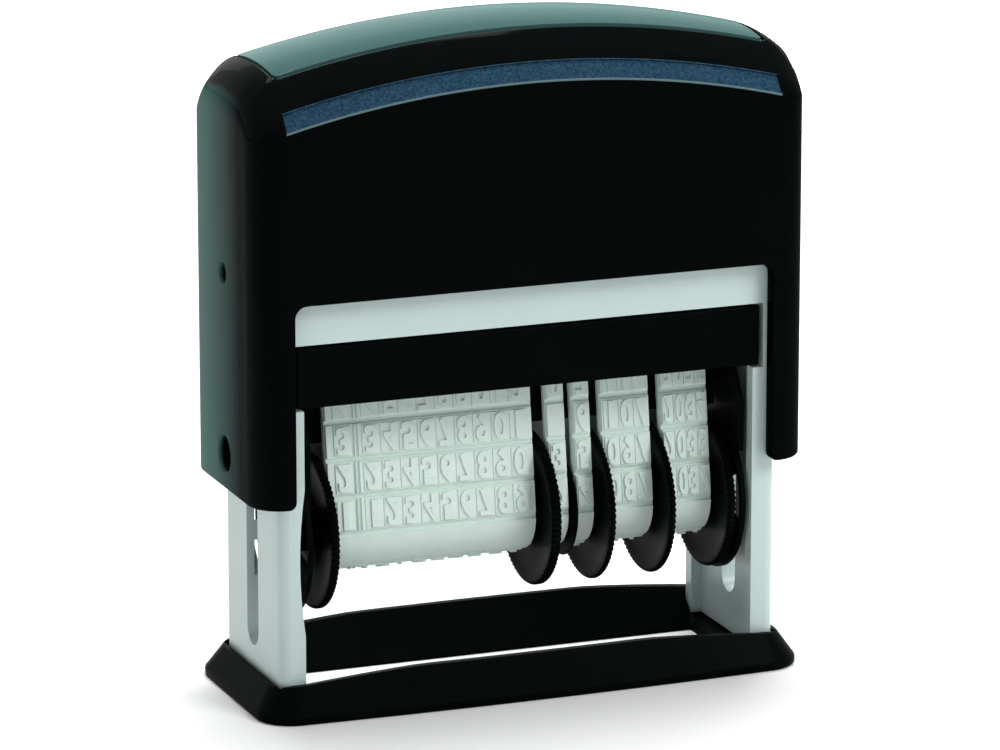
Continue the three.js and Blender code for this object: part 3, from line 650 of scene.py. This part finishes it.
def panel_groove():
    """A loop round the panel whose floor follows the crown at the groove's depth."""
    lower, upper = [], []
    for out in (-GROOVE_HALF, GROOVE_HALF):
        loop = rounded_loop(PANEL_HALF + out, PANEL_HALF_DEPTH + out, PANEL_CORNER + out,
                            side_steps=ARCH_STEPS)
        crown = arch_height(loop[:, 0]) - crown_fall(loop[:, 1])
        lower.append(ring(loop, crown - GROOVE_DEPTH))
        upper.append(ring(loop, cap_high[2] + OVERRUN))
    return surface("panel_groove", np.array(lower + upper[::-1]), round_rows=True)


carve(cap, sunk_band(-1), sunk_band(1))
carve(cap, panel_groove())
dress(cap, "cap", "cap_gloss", cap_gloss, "cap_shell")

# %% [markdown]
# The frame, the tray, the carrier plates and the bar behind the type are plain moulded
# shapes. For these the engineering solid is right, and only its knife edges are wrong. A
# merged copy with a small Bevel modifier gives the edges a mould's radius.

# %% Copies with rounded edges
COPY_MERGE = 0.003  # as MERGE, for the engineering mesh
FLAT_ANGLE = 1  # faces that meet at less than this, in degrees, become one
EDGE_ANGLE = 40  # edges sharper than this are rounded
EDGE_RADIUS = 0.2
THIN_EDGE_RADIUS = 0.12  # on the print unit's thin plates


def softened(node, name, radius):
    """A merged copy of an engineering node whose sharp edges are rounded."""
    mesh = frame["nodes"][node].data.copy()
    work = bmesh.new()
    work.from_mesh(mesh)
    bmesh.ops.remove_doubles(work, verts=work.verts, dist=COPY_MERGE * MM)
    bmesh.ops.dissolve_limit(work, angle_limit=radians(FLAT_ANGLE),
                             verts=work.verts, edges=work.edges)
    work.to_mesh(mesh)
    work.free()
    mesh.name = name
    piece = placed(name, mesh)
    bevel = piece.modifiers.new("rounded edges", "BEVEL")
    bevel.width = radius * MM
    bevel.segments = 2
    bevel.limit_method = "ANGLE"
    bevel.angle_limit = radians(EDGE_ANGLE)
    return piece


dress(softened("frame", "legs_and_bridge", EDGE_RADIUS),
      "frame", "frame_pale", pale_plastic, "frame")
dress(softened("cartridge_tray", "ink_tray", EDGE_RADIUS),
      "cartridge", "black_satin", satin_black, "cartridge_tray")
for node, name in (("carrier_plate_left", "end_plate_left"),
                   ("carrier_plate_right", "end_plate_right"),
                   ("type_platform", "printing_bar")):
    dress(softened(node, name, THIN_EDGE_RADIUS),
          "print_unit", "black_satin", satin_black, node)

# %% [markdown]
# The foot is a low ring: a skirt that slopes up from the lip to a thin rim, and a well
# that slopes down to the opening. It is one tube of rings, closed both ways. Two pockets
# are cut in it for the ends of the frame's legs.

# %% Foot
FOOT_BOW = 0.7  # how far its long sides swell
FOOT_CORNER = 4.6
FOOT_LIP = 1.0  # height of the upright lip
RIM_INSET = 1.9
RIM_THICK = 1.1
RIM_LOW = 3.95  # at its ends; it rises towards mid-length
RIM_RISE = 1.85
RIM_ROUNDING = 0.15
OPENING_HALF = 27.9
OPENING_HALF_DEPTH = 6.2
OPENING_CORNER = 0.4
OPENING_EDGE = 0.6
POCKET_INNER = 28.6  # from the middle to a pocket's near side
POCKET_GAP = 0.3
POCKET_LOW, POCKET_HIGH = 1.2, 12
foot_high = span("base")[1]


def foot_ring(inset, height, rise=0.0):
    """One ring of the foot. Its height may rise towards mid-length by a parabola, up to
    the level top of the rim."""
    half, half_depth = foot_high[:2] - inset
    loop = rounded_loop(half, half_depth - FOOT_BOW, FOOT_CORNER - inset / 2, FOOT_BOW)
    swell = np.maximum(1 - (loop[:, 0] / half) ** 2, 0)
    return ring(loop, height + np.minimum(rise * swell, foot_high[2] - RIM_LOW))


def opening_ring(grow, height):
    """One ring of the opening, grown on all sides."""
    loop = rounded_loop(OPENING_HALF + grow, OPENING_HALF_DEPTH + grow, OPENING_CORNER + grow)
    return ring(loop, height)


def rim_ring(inset, fall):
    """One ring of the rim, a little under its crest."""
    return foot_ring(inset, RIM_LOW - fall, RIM_RISE)


rim_inner = RIM_INSET + RIM_THICK
opening = [opening_ring(0, 0), opening_ring(0, OPENING_EDGE - 0.15),
           opening_ring(0.12, OPENING_EDGE)]
rim = [rim_ring(rim_inner + RIM_ROUNDING, 0.2), rim_ring(rim_inner, 0.04),
       rim_ring(rim_inner - RIM_ROUNDING, 0), rim_ring(RIM_INSET + RIM_ROUNDING, 0.02),
       rim_ring(RIM_INSET, 0.15)]
lip = [foot_ring(0.25, FOOT_LIP + 0.3), foot_ring(0.08, FOOT_LIP + 0.08),
       foot_ring(0, FOOT_LIP - 0.2), foot_ring(0, 0.3), foot_ring(0.08, 0.1), foot_ring(0.25, 0)]
foot = surface("foot", np.array(opening + rim + lip), round_rows=True)
pocket_outer = frame_high[0] + POCKET_GAP
pocket_half = (pocket_outer - POCKET_INNER) / 2
for side in (-1, 1):
    middle = side * (POCKET_INNER + pocket_outer) / 2
    loop = rounded_loop(pocket_half, frame_high[1] + POCKET_GAP, POCKET_GAP) + [middle, 0]
    carve(foot, surface("pocket", np.array([ring(loop, POCKET_LOW), ring(loop, POCKET_HIGH)])))
dress(foot, "frame", "black_satin", satin_black, "base")

# %% [markdown]
# A thumbwheel is a lathe shape with teeth. Its section is a short list of points: out
# along one face, over the rim, back along the other face, along the hub and back through
# the bore. Only the rim's points move in and out with the teeth.

# %% Thumbwheels
WHEEL_TEETH = 80
TOOTH_POINTS = 6
TOOTH_DEPTH = 0.35
BORE = 1.5  # this and the next two are radii
HUB = 3.43
COLLAR = 2.6
EDGE = 0.22  # of the rim
HUB_EDGE = 0.15
COLLAR_EDGE = 0.2
DISH = 0.12  # how far the flat part of a face lies inside its rim
DISH_OUTER, DISH_END = 1.2, 1.5  # from the rim to where the dish begins and is full
DISH_INNER, DISH_START = 1.0, 1.4  # the same from the hub, on the face beside the hub
DISH_CENTRE = 0.6  # and on the other face
wheel_low, wheel_high = span("thumbwheel_tens")
wheel_radius = (wheel_high[1] - wheel_low[1]) / 2


def lathe(name, section, teeth=None):
    """Turns a section [x, radius] about the wheel axle. Where teeth is true for a point,
    its radius falls by a saw shape that rises slowly and drops steeply."""
    section = np.array(section, float)
    angle = np.linspace(0, 2 * pi, WHEEL_TEETH * TOOTH_POINTS, endpoint=False)
    along = (angle * WHEEL_TEETH / (2 * pi)) % 1
    saw = np.interp(along, [0, 0.5, 0.65, 0.9, 1], [1, 0.1, 0, 0.85, 1])
    marks = np.zeros(len(section)) if teeth is None else np.array(teeth, float)
    radius = section[:, 1, None] - TOOTH_DEPTH * marks[:, None] * saw
    x = np.broadcast_to(section[:, 0, None], radius.shape)
    grid = np.stack([x, radius * np.cos(angle), axle_height + radius * np.sin(angle)], -1)
    return surface(name, grid, round_rows=True)


def thumbwheel(name, hub_end, disc, collar_end=None):
    """A wheel from its disc's two faces, the end of its hub and perhaps a collar on the
    other side. It starts at the near face, the one away from the hub."""
    left, right = disc
    edge = min(EDGE, (right - left) / 4)
    near, far = (left, right) if hub_end > right else (right, left)
    step = 1 if far > near else -1
    bore = [[near, BORE]]
    if collar_end is not None:
        bore = [[collar_end, BORE], [collar_end, COLLAR - COLLAR_EDGE],
                [collar_end + step * COLLAR_EDGE, COLLAR], [near, COLLAR]]
    face = [[near, HUB + DISH_INNER], [near + step * DISH, HUB + DISH_START],
            [near + step * DISH, wheel_radius - DISH_END], [near, wheel_radius - DISH_OUTER]]
    rim = [[near, wheel_radius - edge], [near + step * edge, wheel_radius],
           [far - step * edge, wheel_radius], [far, wheel_radius - edge]]
    back = [[far, wheel_radius - DISH_OUTER], [far - step * DISH, wheel_radius - DISH_END],
            [far - step * DISH, HUB + DISH_CENTRE], [far, HUB]]
    hub = [[hub_end - step * HUB_EDGE, HUB], [hub_end, HUB - HUB_EDGE], [hub_end, BORE]]
    section = bore + face + rim + back + hub
    teeth = [point in rim for point in section]
    return lathe(name, section, teeth)


discs = {"phrase": (-25.2, -24.2), "tens": (3.1, 4.3), "units": (10.7, 11.4),
         "month": (18.5, 19.3), "year": (26.2, 27.2)}
for column, disc in discs.items():
    low, high = span(f"thumbwheel_{column}")
    hub_end = high[0] if high[0] - disc[1] > 0.5 else low[0]
    collar_end = low[0] if column == "phrase" else None
    wheel = thumbwheel(f"wheel_{column}_fine", hub_end, disc, collar_end)
    dress(wheel, f"wheel_{column}", "black_satin", satin_black, f"thumbwheel_{column}",
          crease=35)

# %% [markdown]
# The spacer and the axle are the same kind of lathe shape without teeth.

# %% Spacer and axle
AXLE_CORE = 0.05  # the axle is solid: its section stops just short of the axis


def plain_turned(name, node, inner, edge):
    """A disc or a bar with the reach of a node, and small rounded edges."""
    low, high = span(node)
    radius = (high[1] - low[1]) / 2
    left = [[low[0], inner], [low[0], radius - edge], [low[0] + edge, radius]]
    right = [[high[0] - edge, radius], [high[0], radius - edge], [high[0], inner]]
    return lathe(name, left + right)


spacer = plain_turned("day_spacer", "spacer_disc", BORE, 0.1)
dress(spacer, "print_unit", "black_satin", satin_black, "spacer_disc")
axle = plain_turned("steel_axle", "wheel_axle", AXLE_CORE, 0.2)
dress(axle, "print_unit", "steel", drawn_steel, "wheel_axle")

# %% [markdown]
# Each band is an endless strap that runs over the printing bar and round a hub. Its
# middle line has four stretches on each side: the flat, a tight bend, a leaning straight
# and the hub's arc. `strap_line` gives the place for any length along it and any height
# above it, for whole arrays at once.

# %% The line of the bands
BACKING_HALF = 0.45  # half the strap's thickness
PAD_HEIGHT = 0.4
LETTER_HEIGHT = 0.4
FLAT_HALF = 1.3
BEND = 0.3  # radius of the tight bend
LOOP_RADIUS = 4.18  # of the arc round the hub
ROWS = 12
ROW_GAP = 0.45
bend_height = span("band_phrase")[1][2] - PAD_HEIGHT - BACKING_HALF - BEND
bend_rise = bend_height - axle_height
apart = hypot(FLAT_HALF, bend_rise)
lean = np.arcsin((LOOP_RADIUS - BEND) / apart) - atan2(FLAT_HALF, bend_rise)
run = np.sqrt(apart ** 2 - (LOOP_RADIUS - BEND) ** 2)
marks = np.cumsum([FLAT_HALF, BEND * (pi / 2 - lean), run, LOOP_RADIUS * (pi / 2 + lean)])
loop_length = 2 * marks[3]
pitch = loop_length / ROWS


def strap_line(along, offset):
    """Places [y, z] at lengths along the loop, from the middle of the flat towards the
    back, and offset outwards from the middle line."""
    along = np.mod(along, loop_length)
    front = along > loop_length / 2
    s = np.where(front, loop_length - along, along)
    bend_angle = pi / 2 - np.clip((s - marks[0]) / BEND, 0, pi / 2 - lean)
    hub_angle = lean - np.clip(s - marks[2], 0, None) / LOOP_RADIUS
    angle = np.where(s <= marks[2], bend_angle, hub_angle)
    out_y, out_z = np.cos(angle), np.sin(angle)
    straight = np.clip(s - marks[1], 0, run)
    y = np.minimum(s, FLAT_HALF) + BEND * out_y + straight * np.sin(lean)
    z = bend_height + BEND * out_z - straight * np.cos(lean)
    y = np.where(s <= marks[2], y, LOOP_RADIUS * out_y) + out_y * offset
    z = np.where(s <= marks[2], z, axle_height + LOOP_RADIUS * out_z) + out_z * offset
    return np.where(front, -y, y), z


print("loop", round(loop_length, 2), "mm, row pitch", round(pitch, 2), "mm")

# %% [markdown]
# Type is moulded on the band in three steps: a pad for each row, a slug for each sign
# and the sign itself. Pads and slugs are small blocks with sloping sides, bent with the
# strap. The signs are plain numbers: their outlines come from a text object, whose points
# are then moved onto the band. On type the top of a sign points to the next row.

# %% Blocks and signs on a band
BLOCK_STEPS = 6  # along the strap, so that a block can bend with it
STROKE_GROWTH = 0.022  # of a sign one unit high, to either side of each stroke


def block(x_low, x_high, s_low, s_high, low, high, slope):
    """A block on the strap, as points [x, along, offset] and faces. Its top is smaller
    than its bottom by the slope on all sides."""
    level = np.linspace(s_low + slope, s_high - slope, BLOCK_STEPS)
    s = np.concatenate([[s_low], level, [s_high]])
    lifted = np.full(len(s), high)
    lifted[[0, -1]] = low
    inner = np.full(len(s), slope)
    inner[[0, -1]] = 0
    rows = np.stack([
        np.stack([np.full(len(s), x_low), s, np.full(len(s), low)], -1),
        np.stack([x_low + inner, s, lifted], -1),
        np.stack([x_high - inner, s, lifted], -1),
        np.stack([np.full(len(s), x_high), s, np.full(len(s), low)], -1)], 1)
    return rows.reshape(-1, 3), grid_faces(len(s), 4, False)


def sign(text):
    """The mesh of one sign, centred, as points [right, up, out], with all three of its
    sizes made 1, and its faces."""
    words = bpy.data.curves.new("sign", "FONT")
    words.body = text
    words.size = 1
    words.extrude = 0.5
    words.resolution_u = 3
    words.offset = STROKE_GROWTH
    holder = placed("sign", words)
    mesh = finished(holder)
    points = np.zeros(len(mesh.vertices) * 3)
    mesh.vertices.foreach_get("co", points)
    points = points.reshape(-1, 3)
    faces = [list(polygon.vertices) for polygon in mesh.polygons]
    bpy.data.objects.remove(holder)
    bpy.data.meshes.remove(mesh)
    bpy.data.curves.remove(words)
    low, high = points.min(0), points.max(0)
    return (points - (low + high) / 2) / (high - low), faces


signs = {text: sign(text) for text in "0123456789/"}
print("signs", "".join(signs), "with", sum(len(points) for points, _ in signs.values()), "points")

# %% [markdown]
# One band is the strap, a tube of six-point rings closed both ways, plus everything that
# stands on it, joined in one mesh.

# %% Bands
SIGN_TALL = 0.74  # share of the row pitch
SIGN_WIDE, ONE_WIDE = 0.72, 0.35  # shares of the column's width
STRAP_STEPS = 240
STRAP_EDGE = 0.1
PAD_MARGIN = 0.05  # from the strap's side to the pads
SLUG_MARGIN = 0.15  # above and below the sign
SLUG_RISE = 0.16
DIVIDER_WIDTH = 0.24
DIVIDER_RISE = 0.3
SUNK = 0.05  # how deep one step stands in the one below


def band(name, row_texts, columns, dividers=()):
    """A band from the texts of its rows, the places [x, width] of its columns and the
    places of the thin upright bars between columns."""
    left, right = (corner[0] for corner in span(name))
    s = np.linspace(0, loop_length, STRAP_STEPS, endpoint=False)
    shoulder = BACKING_HALF - STRAP_EDGE
    section = [(left, -BACKING_HALF), (left, shoulder), (left + STRAP_EDGE, BACKING_HALF),
               (right - STRAP_EDGE, BACKING_HALF), (right, shoulder), (right, -BACKING_HALF)]
    rows = np.stack([np.stack([np.full(len(s), x), s, np.full(len(s), offset)], -1)
                     for x, offset in section], 1)
    points, faces = [rows.reshape(-1, 3)], grid_faces(len(s), len(section), True).tolist()

    def add(more_points, more_faces):
        start = sum(len(part) for part in points)
        faces.extend([[start + corner for corner in face] for face in more_faces])
        points.append(more_points)

    def add_block(x, width, half_tall, low, high, slope):
        """A block on the middle of the row, a distance x from the strap's left side."""
        add(*block(left + x, left + x + width, middle - half_tall, middle + half_tall,
                   low, high, slope))

    face = BACKING_HALF + PAD_HEIGHT
    half_pad = (pitch - ROW_GAP) / 2
    tall = pitch * SIGN_TALL
    for row, text in enumerate(row_texts):
        middle = -row * pitch
        add_block(PAD_MARGIN, right - left - 2 * PAD_MARGIN, half_pad,
                  BACKING_HALF - STRAP_EDGE, face, STRAP_EDGE)
        for x in dividers if text else ():
            add_block(x, DIVIDER_WIDTH, half_pad - STRAP_EDGE,
                      face - SUNK, face + DIVIDER_RISE, 0.05)
        for letter, (x, width) in zip(text, columns):
            if letter == " ":
                continue
            add_block(x, width, tall / 2 + SLUG_MARGIN, face - SUNK, face + SLUG_RISE, 0.08)
            shape, shape_faces = signs[letter]
            wide = width * (ONE_WIDE if letter == "1" else SIGN_WIDE)
            add(np.stack([left + x + width / 2 + shape[:, 0] * wide,
                          middle - shape[:, 1] * tall,
                          face + (shape[:, 2] + 0.5) * LETTER_HEIGHT], -1), shape_faces)
    laid = np.concatenate(points)
    y, z = strap_line(laid[:, 1], laid[:, 2])
    piece = body_of(name + "_type", np.stack([laid[:, 0], y, z], -1), faces)
    dress(piece, "print_unit", "band_rubber", pale_rubber, name, crease=25)


# The first row of a band is the one that prints. The first column of the phrase band
# stands alone, as its index.
phrase_columns = [(1.0, 2.2)] + [(4.6 + 2.38 * i, 2.3) for i in range(9)]
phrase_rows = ["5135791357", "4456789012", "3345678901", "2234567890", "1123456789", "",
               "9987654321", "8246824682", "7864297531", "6102030405", "", "0500600700"]
band("band_phrase", phrase_rows, phrase_columns, dividers=(3.55, 4.05))
band("band_tens", list("10 321032 10"), [(0.25, 2.0)])
band("band_units", list("87654 321098"), [(0.2, 2.0)])
months = [f"{month:02}/" for month in range(12, 1, -1)]
band("band_month", months[:5] + [""] + months[5:], [(0.3 + 1.97 * i, 1.95) for i in range(3)])
years = [str(year) for year in range(2036, 2026, -1)]
band("band_year", years[:5] + [""] + years[5:] + [""],
     [(0.15 + 1.5 * i, 1.48) for i in range(4)])

# %% [markdown]
# The ink pad is a felt block with softly crowned faces. It lies in the tray's recess,
# and only its underside can be seen when the cartridge is out.

# %% Ink pad
PAD_CORNER, LEAST_CORNER = 0.8, 0.3
PAD_EDGE = [(2.5, 1), (0.9, 0.97), (0.35, 0.9), (0.08, 0.72), (0, 0.4)]  # [inset, level]
pad_low, pad_high = span("ink_pad")
pad_middle = (pad_low[2] + pad_high[2]) / 2
pad_half = (pad_high[2] - pad_low[2]) / 2


def pad_ring(inset, level):
    """One ring of the pad: level -1 is its face, 1 its back."""
    corner = max(PAD_CORNER - inset, LEAST_CORNER)
    loop = rounded_loop(pad_high[0] - inset, pad_high[1] - inset, corner)
    return ring(loop, pad_middle + level * pad_half)


face_rings = [pad_ring(inset, -level) for inset, level in PAD_EDGE]
back_rings = [pad_ring(inset, level) for inset, level in reversed(PAD_EDGE)]
pad = surface("felt_pad", np.array(face_rings + back_rings))
dress(pad, "cartridge", "pad_felt", inked_felt, "ink_pad", crease=60)

# %% [markdown]
# A return spring is a wire carried along a helix whose end turns lie a little flatter.
# When the cap goes down it has to shorten towards the frame's deck, and the share of its length
# that it then keeps is worked out.

# %% Return springs
WIRE = 0.45  # its radius
WIRE_STEPS = 12
SPRING_TURNS = 7.5
TURN_STEPS = 48
END_LEVELLING = 0.055  # takes this sine wave off the climb, so the ends lie flatter
SEAT = 0.3  # from the frame's deck to the lowest turn
deck_top = span("return_spring_left")[0][2] - SEAT
travel = joints["cap_press"]["range_m"][1] / MM


def coil(name, low, high):
    """A circle of wire carried along a helix: the angle grows evenly with the share of
    the way, and the height as the share less a small sine of it."""
    radius = (high[0] - low[0]) / 2 - WIRE
    share = np.linspace(0, 1, int(SPRING_TURNS * TURN_STEPS))[:, None]
    angle = 2 * pi * SPRING_TURNS * share
    climb = share - END_LEVELLING * np.sin(2 * pi * share)
    height = low[2] + WIRE + (high[2] - low[2] - 2 * WIRE) * climb
    around = np.linspace(0, 2 * pi, WIRE_STEPS, endpoint=False)
    out = radius + WIRE * np.cos(around)
    return surface(name, np.stack([(low[0] + high[0]) / 2 + out * np.cos(angle),
                                   out * np.sin(angle), height + WIRE * np.sin(around)], -1))


for side in ("left", "right"):
    low, high = span(f"return_spring_{side}")
    spring = coil(f"spring_{side}", low, high)
    dress(spring, "frame", "steel", drawn_steel, f"return_spring_{side}", crease=50)
    kept = (high[2] - travel - deck_top) / (high[2] - deck_top)
    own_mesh(spring)
print("springs keep", round(kept, 3), "of their length")

# %% [markdown]
# The floor is pale and keeps the stamp's shadow. To the camera it is pure white where
# nothing shades it, also far away, where the lamps fade, while the light that it throws
# back onto the stamp stays plain.

# %% Floor
FLOOR_REACH = 3000
FLOOR_GAP = 0.03  # it lies this little below the foot, so the two never flicker
LAMPS_FADE = (0.25, 1)  # metres from the stamp
corners = np.array([[-1, -1], [1, -1], [1, 1], [-1, 1]]) * FLOOR_REACH
floor_mesh = bpy.data.meshes.new("floor")
floor_mesh.from_pydata((ring(corners, -FLOOR_GAP) * MM).tolist(), [], [(0, 1, 2, 3)])
floor = placed("floor", floor_mesh)
floor_finish = Finish("floor_paper", roughness=0.9, specular_ior_level=0.0)
seen = floor_finish.node("ShaderNodeLightPath", output="Is Camera Ray")
distance = floor_finish.node("ShaderNodeVectorMath", {"operation": "LENGTH"},
                             {0: floor_finish.place}, output=1)
shown_floor = floor_finish.mix(
    floor_finish.ramp(distance, *LAMPS_FADE), (0.92, 0.92, 0.92), (3.2, 3.2, 3.2))
floor_finish.feed("Base Color", floor_finish.mix(seen, (0.8, 0.8, 0.8), shown_floor))
floor.data.materials.append(floor_finish.material)
print("floor", 2 * FLOOR_REACH, "mm wide")

# %% [markdown]
# The world is a plain white room. The camera, reflections and clear materials see it at
# its full strength, while its light on the stamp is weaker, so that the lamps can shape
# the stamp.

# %% World
WORLD_LIGHT = 0.38
world = bpy.data.worlds.new("studio")
bpy.context.scene.world = world
world.use_nodes = True
new_node, link = world.node_tree.nodes.new, world.node_tree.links.new
background = world.node_tree.nodes["Background"]
background.inputs["Color"].default_value = (1, 1, 1, 1)
rays = new_node("ShaderNodeLightPath").outputs


def either(first, second):
    """The larger of two outputs: 1 where a ray is of one kind or the other."""
    larger = new_node("ShaderNodeMath")
    larger.operation = "MAXIMUM"
    link(first, larger.inputs[0])
    link(second, larger.inputs[1])
    return larger.outputs[0]


level = new_node("ShaderNodeMapRange")
level.inputs["To Min"].default_value = WORLD_LIGHT
level.inputs["To Max"].default_value = 1.0
seen_or_mirrored = either(rays["Is Camera Ray"], rays["Is Glossy Ray"])
link(either(seen_or_mirrored, rays["Is Transmission Ray"]), level.inputs["Value"])
link(level.outputs[0], background.inputs["Strength"])
print("world", world.name, "lights at", WORLD_LIGHT)

# %% [markdown]
# Three large soft lamps: one overhead and a little behind, which throws a close shadow to
# the front, one high in front on the right, which draws the type on the bands, and a wide
# low one behind, which lies as a sheen on the panel of the crown.

# %% Lamps
STAMP_MIDDLE = Vector((0, 0, 0.04))


def soft_lamp(name, place, size, power, size_y=None):
    """A lamp turned to the stamp, in metres and watts: a square, or a rectangle."""
    data = bpy.data.lights.new(name, "AREA")
    data.size = size
    data.energy = power
    if size_y:
        data.shape = "RECTANGLE"
        data.size_y = size_y
    lamp = placed(name, data)
    lamp.location = place
    aim = STAMP_MIDDLE - lamp.location
    lamp.rotation_euler = aim.to_track_quat("-Z", "Y").to_euler()
    print("lamp", name, power, "W")


soft_lamp("overhead", (0.07, 0.20, 0.60), 0.40, 4.7)
soft_lamp("front_right", (0.42, -0.5, 0.55), 0.35, 3.5)
soft_lamp("low_back", (0.30, 0.74, 0.27), 0.95, 0.9, size_y=0.34)
